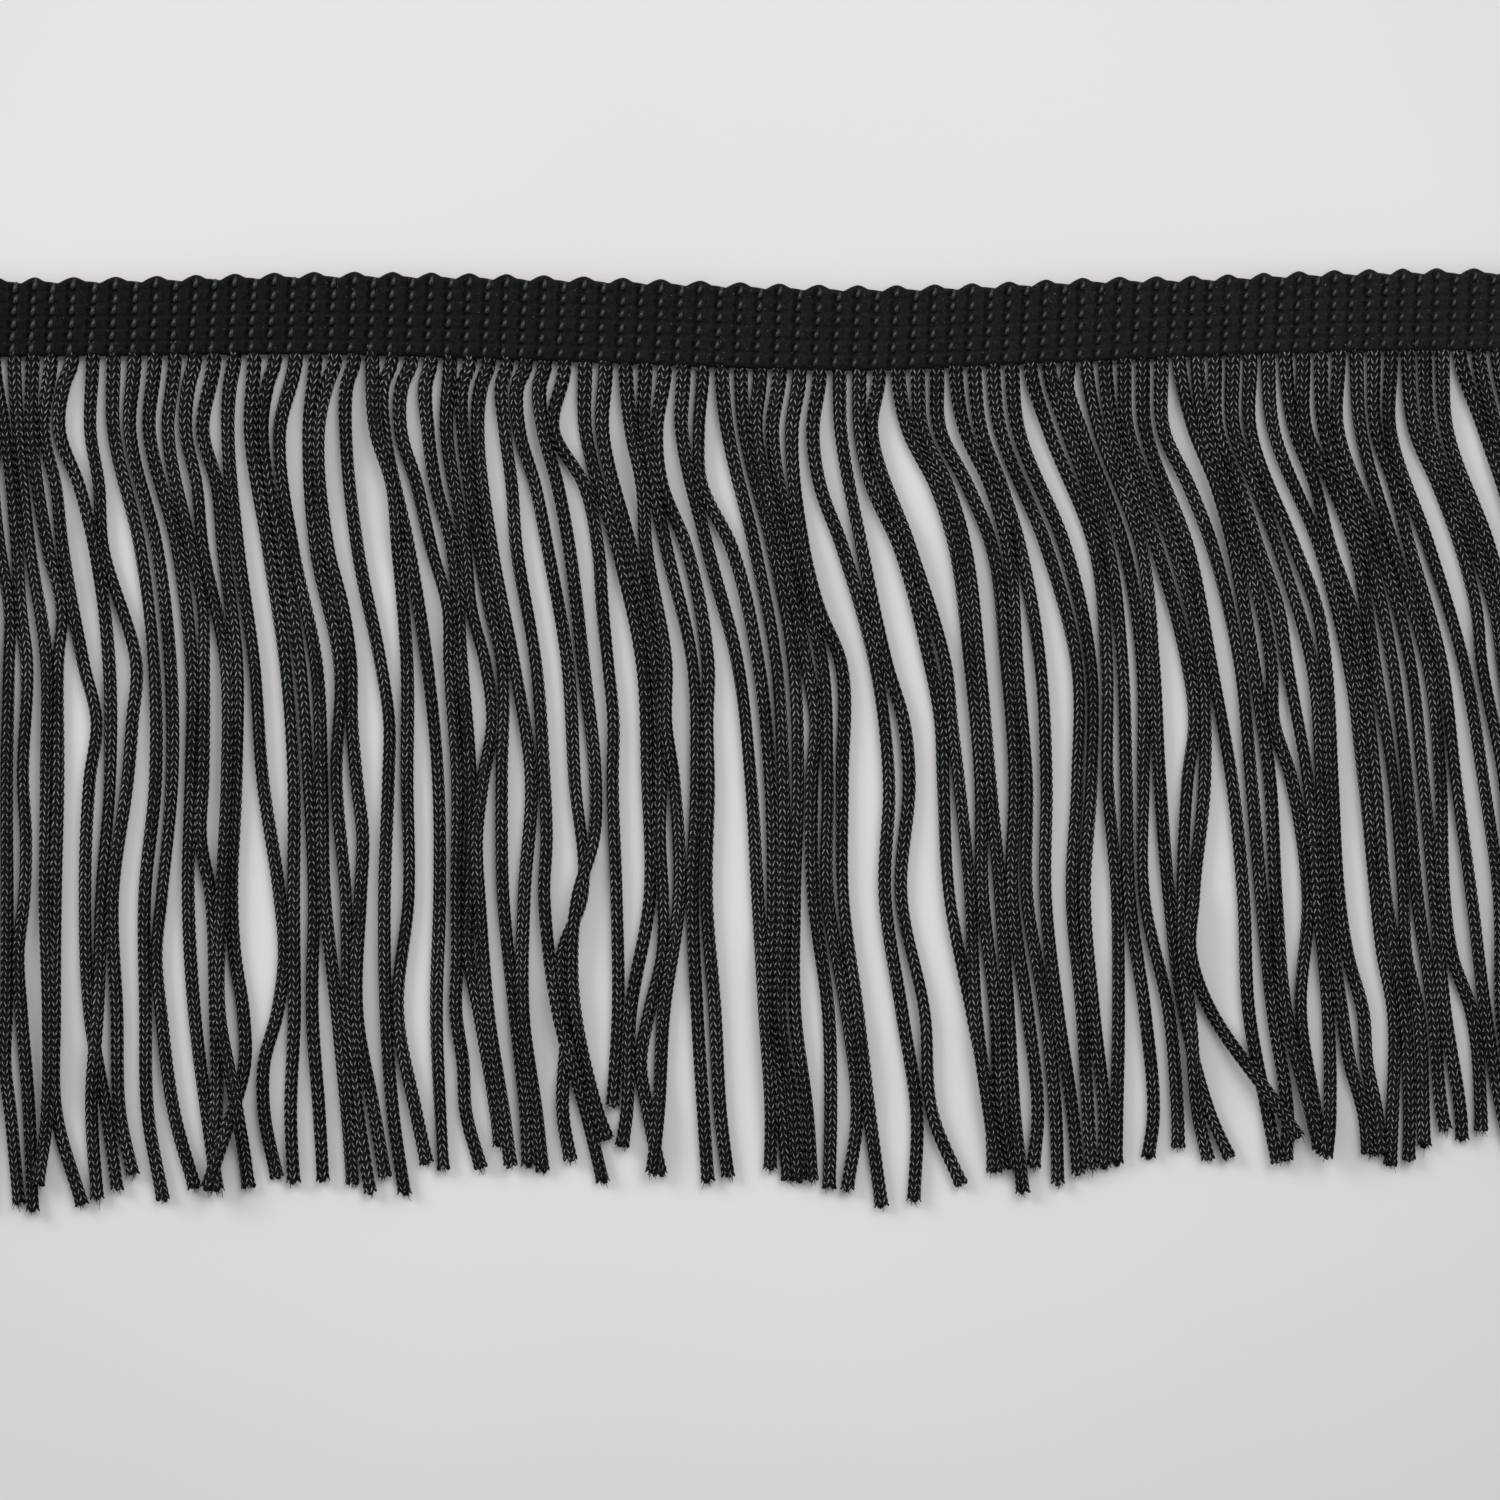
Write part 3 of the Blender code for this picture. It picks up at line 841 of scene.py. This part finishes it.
def knitted_polyester_heading():
    material, tree, shader = new_material("knitted_spun_polyester")
    in_mm = place_in_mm(tree)
    yarns = add_node(
        tree, "TexNoise", {}, {"Scale": 1 / YARN_PITCH, "Detail": 3.0, "Roughness": 0.65},
        {"Vector": in_mm},
    )
    lint = add_node(
        tree, "TexNoise", {}, {"Scale": 1 / LINT_SIZE, "Detail": 1.0}, {"Vector": in_mm}
    )
    lint_only = add_node(
        tree, "MapRange", {},
        {"From Min": LINT_FROM, "From Max": LINT_TO, "To Min": 0.0, "To Max": 0.5}, {"Value": lint},
    )
    yarns_and_lint = add_node(tree, "Math", {"operation": "ADD"}, {}, {0: yarns, 1: lint_only})
    shade = add_node(
        tree, "ValToRGB", {}, {}, {"Fac": yarns_and_lint},
        ((0.35, "#0a0b0a"), (0.72, "#1a1b1a"), (1.0, "#7e8182")),
    )
    # Painted light: the heading's colour is made greyer towards its right end, as if that end
    # caught more light.
    along = add_node(tree, "SeparateXYZ", {}, {}, {"Vector": in_mm})
    painted_light_along = add_node(
        tree, "MapRange", {},
        {
            "From Min": -SHADE_REACH, "From Max": SHADE_REACH,
            "To Min": PAINTED_LIGHT_ALONG[0], "To Max": PAINTED_LIGHT_ALONG[1],
        },
        {"Value": along.outputs["X"]},
    )
    shaded = add_node(tree, "HueSaturation", {}, {}, {"Color": shade, "Value": painted_light_along})
    raised = add_node(tree, "Bump", {}, {"Strength": 0.6, "Distance": 0.06 * MM}, {"Height": yarns})
    tree.links.new(shaded.outputs["Color"], shader.inputs["Base Color"])
    tree.links.new(raised.outputs["Normal"], shader.inputs["Normal"])
    shader.inputs["Roughness"].default_value = 0.5
    shader.inputs["IOR"].default_value = 1.5
    shader.inputs["Specular IOR Level"].default_value = 0.05
    shader.inputs["Metallic"].default_value = 0.0
    return material


HEADING_YARN = knitted_polyester_heading()
print("heading material:", HEADING_YARN.name)

# %% [markdown]
# The heading's face has one broad rib to each cord and a column of raised loops at the edge of
# every rib, with a hole beside each loop and a pit below it. Its upper edge bulges over every
# second rib, where the cord bends back. One grid follows the ribs, so every rib gets the same
# few columns of faces. The back is a second grid, flatter, and the two share their border.

# %% The heading's surface
USUAL_WIDTH = 10.0
COLUMNS_IN_A_RIB = 12
LOOP_COLUMN = -0.32
LOOP_LEAN = 0.24
LOOP_ROWS = (1.05, 2.85, 4.5, 6.25, 7.85, 9.2)
SCALLOP_HIGH = 0.68
SCALLOP_LOW = 0.24
SCALLOP_START = 0.75
SCALLOP_ROW = 8.0
BEND_AT = -0.1
BEND_WIDTH = 1.3
SHOULDER_AT = 0.5
SHOULDER_WIDTH = 1.5
RIB_HEIGHT = 0.34
RIB_SQUARENESS = 3.5
EDGE_ROUND = 0.5
BACK_HOLLOW = 0.08
BACK_RIBS = 0.12
ROWS_AT_EDGE = (0.0, 0.06, 0.2, 0.45, 0.75)
ROW_STEP = 0.27
# Each dent of the face: its depth, its middle and its half width.
HOLE_DEPTH = 0.62
HOLE_BESIDE = 0.84
HOLE_ABOVE = -0.1
HOLE_SIZE = (0.09, 0.40)
PIT_DEPTH = 0.42
PIT_ABOVE = -0.75
PIT_SIZE = (0.14, 0.22)
COURSE_LINE_DEPTH = 0.14
COURSE_LINE_ABOVE = 0.85
COURSE_LINE_SIZE = 0.14
RIB_SHIFTS = (
    # x, how far the ribs stand to the right of their cords there
    (-107, 0.0), (-100, 0.35), (-66, 0.3), (-57, 0.0), (-50, 0.35), (-35, 0.25), (-20, 0.05),
    (-13, -0.25), (2, 0.25), (16, 0.0), (47, -0.4), (60, -0.45), (74, -0.38), (94, -0.45),
    (101, 0.0),
)


def heading_ribs():
    """Rib numbers of the grid's columns, from one end of the heading to the other."""
    low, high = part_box("heading_band")
    left = low.x / MM - DRAWING_SHIFT[0]
    right = high.x / MM - DRAWING_SHIFT[0]
    first = float(rib_at(left))
    last = float(rib_at(right))
    return np.linspace(first, last, int((last - first) * COLUMNS_IN_A_RIB))


def scallop(ribs):
    """How far the upper edge bulges at each rib number: a bend, then a sloping shoulder."""
    beside = (ribs - LOOP_COLUMN - LOOP_LEAN + SCALLOP_START) % 2 - SCALLOP_START
    bend = np.maximum(np.cos((beside - BEND_AT) * math.pi / BEND_WIDTH), 0)
    shoulder = np.maximum(np.cos((beside - SHOULDER_AT) * math.pi / SHOULDER_WIDTH), 0)
    return SCALLOP_HIGH * bend ** 1.2 + SCALLOP_LOW * shoulder


def rows_across():
    """Distances of the grid's rows from the lower edge, closer together at both edges."""
    near = np.array(ROWS_AT_EDGE)
    middle = np.arange(1.0, USUAL_WIDTH - 0.9, ROW_STEP)
    return np.concatenate([near, middle, (USUAL_WIDTH - near)[::-1]])


def on_heading(rib, row):
    """X and Y of a place on the heading, given by rib number and distance in the usual width."""
    x = rib_x(rib)
    x = x + from_table(RIB_SHIFTS, 1, x)
    near_top = np.clip((row - SCALLOP_ROW) / (USUAL_WIDTH - SCALLOP_ROW), 0, 1)
    y = lower_edge(x) + row / USUAL_WIDTH * heading_width(x) + near_top * scallop(rib)
    return x, y


def face_relief(rib, row):
    """Height of the face above the valleys between the ribs."""
    beside = (rib - LOOP_COLUMN - LOOP_LEAN * row / USUAL_WIDTH) % 1
    dome = 1 - np.abs(2 * beside - 1) ** RIB_SQUARENESS
    relief = RIB_HEIGHT * dome
    from_column = np.minimum(beside, 1 - beside)
    for loop_row in LOOP_ROWS:
        above = row - loop_row
        hole = ((beside - HOLE_BESIDE) / HOLE_SIZE[0]) ** 2
        hole = hole + ((above - HOLE_ABOVE) / HOLE_SIZE[1]) ** 2
        relief = relief - HOLE_DEPTH * np.exp(-hole)
        pit = (from_column / PIT_SIZE[0]) ** 2 + ((above - PIT_ABOVE) / PIT_SIZE[1]) ** 2
        relief = relief - PIT_DEPTH * np.exp(-pit)
        line = ((above - COURSE_LINE_ABOVE) / COURSE_LINE_SIZE) ** 2
        relief = relief - COURSE_LINE_DEPTH * np.exp(-line)
    return relief


def rounded(row):
    """Share of the full thickness near the two long edges."""
    from_edge = np.minimum(row, USUAL_WIDTH - row)
    inward = np.clip(1 - from_edge / EDGE_ROUND, 0, 1)
    return np.sqrt(np.maximum(1 - inward ** 2, 0))


def heading():
    rib, row = np.meshgrid(heading_ribs(), rows_across())
    x, y = on_heading(rib, row)
    middle = HEADING_THICKNESS / 2
    swell = rounded(row)
    top = middle + swell * (middle - RIB_HEIGHT + face_relief(rib, row))
    back_ribs = BACK_RIBS * np.cos(2 * math.pi * (rib - LOOP_COLUMN))
    bottom = middle - swell * (middle - BACK_HOLLOW - back_ribs)
    bottom = np.maximum(bottom, 0.0)
    face = np.stack([x, y, top], axis=-1)
    back = np.stack([x, y, bottom], axis=-1)[1:-1]
    rows, columns = rib.shape
    points = [face.reshape(-1, 3), back.reshape(-1, 3)]
    face_index = np.arange(rows * columns).reshape(rows, columns)
    inner_back = rows * columns + np.arange((rows - 2) * columns).reshape(rows - 2, columns)
    back_index = np.concatenate([face_index[:1], inner_back, face_index[-1:]])
    quads = [grid_faces(face_index), grid_faces(back_index[:, ::-1])]
    left = list(face_index[:, 0]) + list(inner_back[::-1, 0])
    right = list(face_index[::-1, -1]) + list(inner_back[:, -1])
    return make_piece(
        "heading_knit", points, quads, [left[::-1], right[::-1]],
        HEADING_YARN, "heading_band",
    )


def grid_faces(index):
    """Faces of a grid of point numbers."""
    corners = [index[:-1, :-1], index[:-1, 1:], index[1:, 1:], index[1:, :-1]]
    return np.stack(corners, axis=-1).reshape(-1, 4)


heading_piece = heading()
print("heading triangles:", triangle_count(heading_piece))

# %% [markdown]
# At every hole a loop of the knitting stands up and leans to one side. It is the one thing on
# the heading that catches light, probably because its yarn is pulled tight and its filaments
# lie straight: it is smoother than the rest, and shines. Its black is also painted greyer than
# the heading's, a painted sheen on top of that real shine. Each is a short bent lozenge: thin
# where it comes out, thick near its foot, and gone in the pit below.
# The loops look larger towards the left end, so their size follows X. The cause isn't known.

# %% The raised loops
def loop_yarn_with_painted_sheen():
    material, tree, shader = new_material("stretched_polyester_loops")
    in_mm = place_in_mm(tree)
    strands = add_node(
        tree, "TexNoise", {}, {"Scale": 1 / FILAMENT_BUNDLE, "Detail": 2.0},
        {"Vector": in_mm},
    )
    # Painted sheen: the loops' black is painted greyer than the heading's, on top of their real
    # shine.
    shade = add_node(
        tree, "ValToRGB", {}, {}, {"Fac": strands}, ((0.3, "#0e1010"), (0.7, "#2b2f2f"))
    )
    tree.links.new(shade.outputs["Color"], shader.inputs["Base Color"])
    shader.inputs["Roughness"].default_value = 0.36
    shader.inputs["IOR"].default_value = 1.54
    shader.inputs["Specular IOR Level"].default_value = 0.36
    return material


LOOP_YARN = loop_yarn_with_painted_sheen()
LOOP_SIDES = 8
LOOP_LENGTH = 1.36
LOOP_RADII = (0.10, 0.20, 0.27, 0.31, 0.35, 0.38, 0.34, 0.12)
LOOP_SIZES = (1.1, 0.88)
LOOP_SIZES_AT = (-100, 100)
LOOP_LENGTHS = (0.92, 1.06)
LOOP_BULGE = 0.06
LOOP_START = 0.22
LOOP_DRIFT = 0.30
LOOP_RISE = 0.22
LOOP_SINK = 0.10
LOOP_RISE_ENDS = 1.15
LOOP_STRAY = 0.05
CLEAR_OF_CUT = 0.3


def raised_loop(x, y, base, chance):
    """Rings of one loop whose middle is at x, y."""
    rings = []
    size = np.interp(x, LOOP_SIZES_AT, LOOP_SIZES)
    length = LOOP_LENGTH * size * chance.uniform(*LOOP_LENGTHS)
    for i, radius in enumerate(LOOP_RADII):
        t = i / (len(LOOP_RADII) - 1)
        down = (t - 0.5) * length
        bulge = LOOP_BULGE * math.sin(math.pi * t)
        centre_x = x + LOOP_START - LOOP_DRIFT * t + bulge
        arch = math.sin(math.pi * min(t * LOOP_RISE_ENDS, 1.0)) ** 0.5
        rise = LOOP_RISE * arch - LOOP_SINK
        for side in range(LOOP_SIDES):
            angle = 2 * math.pi * side / LOOP_SIDES
            rings.append((
                centre_x + radius * size * math.cos(angle),
                y - down,
                base + rise + radius * size * math.sin(angle),
            ))
    return rings


def raised_loops(chance):
    points, quads, ends = [], [], []
    first = 0
    ribs = heading_ribs()
    for rib in range(FIRST_RIB, LAST_RIB + 1):
        for loop_row in LOOP_ROWS:
            number = np.array(rib + LOOP_COLUMN + LOOP_LEAN * loop_row / USUAL_WIDTH)
            if not ribs[0] + CLEAR_OF_CUT < number < ribs[-1] - CLEAR_OF_CUT:
                continue
            x, y = on_heading(number, loop_row) + chance.normal(0, LOOP_STRAY, 2)
            points.append(raised_loop(x, y, HEADING_THICKNESS - RIB_HEIGHT, chance))
            quads.append(tube_faces(first, len(LOOP_RADII), LOOP_SIDES))
            ends += tube_ends(first, len(LOOP_RADII), LOOP_SIDES)
            first += len(LOOP_RADII) * LOOP_SIDES
    return make_piece("heading_loops", points, quads, ends, LOOP_YARN)


loops_piece = raised_loops(np.random.default_rng(3))
print("loop triangles:", triangle_count(loops_piece))

# %% [markdown]
# The trim is a length of cloth that lies on a table.

# %% [markdown]
# A plain pale table takes the soft shadows. It lies a hair below the trim, so that no two faces
# share a place. A real sheet of paper isn't one flat grey, so a faint wide noise shades it. A
# lens darkens the corners of what it shows, and the table's shade stands in for that: it gets
# a little darker and cooler away from the trim.

# %% The table
TABLE_SIDE = 3.0
TABLE_DROP = 0.0002
BRIGHT_MIDDLE = (0.0, 0.035, 0.0)
SHADED_FROM = 0.095
SHADED_TO = 0.160
CORNER_LOSS = (0.125, 0.107, 0.092)
CLOUDS_IN_A_METRE = 14.0


def table_paper():
    material, tree, shader = new_material("matt_white_paper")
    place = add_node(tree, "TexCoord")
    clouds = add_node(
        tree, "TexNoise", {}, {"Scale": CLOUDS_IN_A_METRE, "Detail": 2.0},
        {"Vector": place.outputs["Object"]},
    )
    shade = add_node(
        tree, "ValToRGB", {}, {}, {"Fac": clouds}, ((0.0, "#dfdddc"), (1.0, "#e5e3e1"))
    )
    from_middle = add_node(
        tree, "VectorMath", {"operation": "DISTANCE"}, {1: BRIGHT_MIDDLE},
        {0: place.outputs["Object"]},
    )
    outside = add_node(
        tree, "MapRange", {},
        {"From Min": SHADED_FROM, "From Max": SHADED_TO, "To Min": 0.0, "To Max": 1.0},
        {"Value": from_middle.outputs["Value"]},
    )
    darkening = add_node(
        tree, "VectorMath", {"operation": "MULTIPLY_ADD"},
        {1: [-loss for loss in CORNER_LOSS], 2: (1.0, 1.0, 1.0)}, {0: outside},
    )
    shaded = add_node(tree, "VectorMath", {"operation": "MULTIPLY"}, {}, {0: shade, 1: darkening})
    tree.links.new(shaded.outputs["Vector"], shader.inputs["Base Color"])
    shader.inputs["Roughness"].default_value = 0.9
    return material


bpy.ops.mesh.primitive_plane_add(size=TABLE_SIDE, location=(0, 0, -TABLE_DROP))
floor = bpy.context.object
floor.name = "floor"
floor.data.materials.append(table_paper())
print("table side, m:", TABLE_SIDE)

# %% [markdown]
# Two soft lights stand behind the heading, a high one a little to the right and a lower one far
# to the left. They give the pale ground a gentle fall towards the cut ends and leave no hard
# shadow. The world adds the light that a white room throws back.

# %% Light
ROOM_STRENGTH = 0.52


def soft_light(name, place, size, power):
    """A square area light that faces the middle of the trim."""
    light = bpy.data.lights.new(name, "AREA")
    light.shape = "SQUARE"
    light.size = size
    light.energy = power
    lamp = bpy.data.objects.new(name, light)
    lamp.location = place
    aim = -np.array(place, float)
    pitch = math.acos(-aim[2] / np.linalg.norm(aim))
    lamp.rotation_euler = (pitch, 0, math.atan2(aim[0], -aim[1]) + math.pi)
    bpy.context.scene.collection.objects.link(lamp)
    return lamp


soft_light("high_right_softbox", place=(0.34, 0.56, 1.0), size=0.7, power=6.15)
soft_light("low_left_softbox", place=(-0.80, 0.50, 0.64), size=0.5, power=5.3)
world = bpy.data.worlds.new("white_room")
world.use_nodes = True
world.node_tree.nodes["Background"].inputs["Color"].default_value = linear("#eef0f2")
world.node_tree.nodes["Background"].inputs["Strength"].default_value = ROOM_STRENGTH
bpy.context.scene.world = world
bpy.context.scene.view_settings.view_transform = "Standard"

# %% [markdown]
# The camera looks straight down from far enough that the cords near the border aren't seen
# from the side. The lens follows from the width that should fill the picture.

# %% Camera
VIEW_WIDTH = 0.1935
VIEW_CENTRE = (-0.00037, -0.00128)
CAMERA_HEIGHT = 0.9
SENSOR_WIDTH = 36.0

camera_data = bpy.data.cameras.new("camera")
camera_data.sensor_width = SENSOR_WIDTH
camera_data.lens = SENSOR_WIDTH * CAMERA_HEIGHT / VIEW_WIDTH
camera_data.clip_start = 0.05
camera = bpy.data.objects.new("camera", camera_data)
camera.location = (*VIEW_CENTRE, CAMERA_HEIGHT)
bpy.context.scene.collection.objects.link(camera)
bpy.context.scene.camera = camera
print("lens, mm:", round(camera_data.lens, 1))
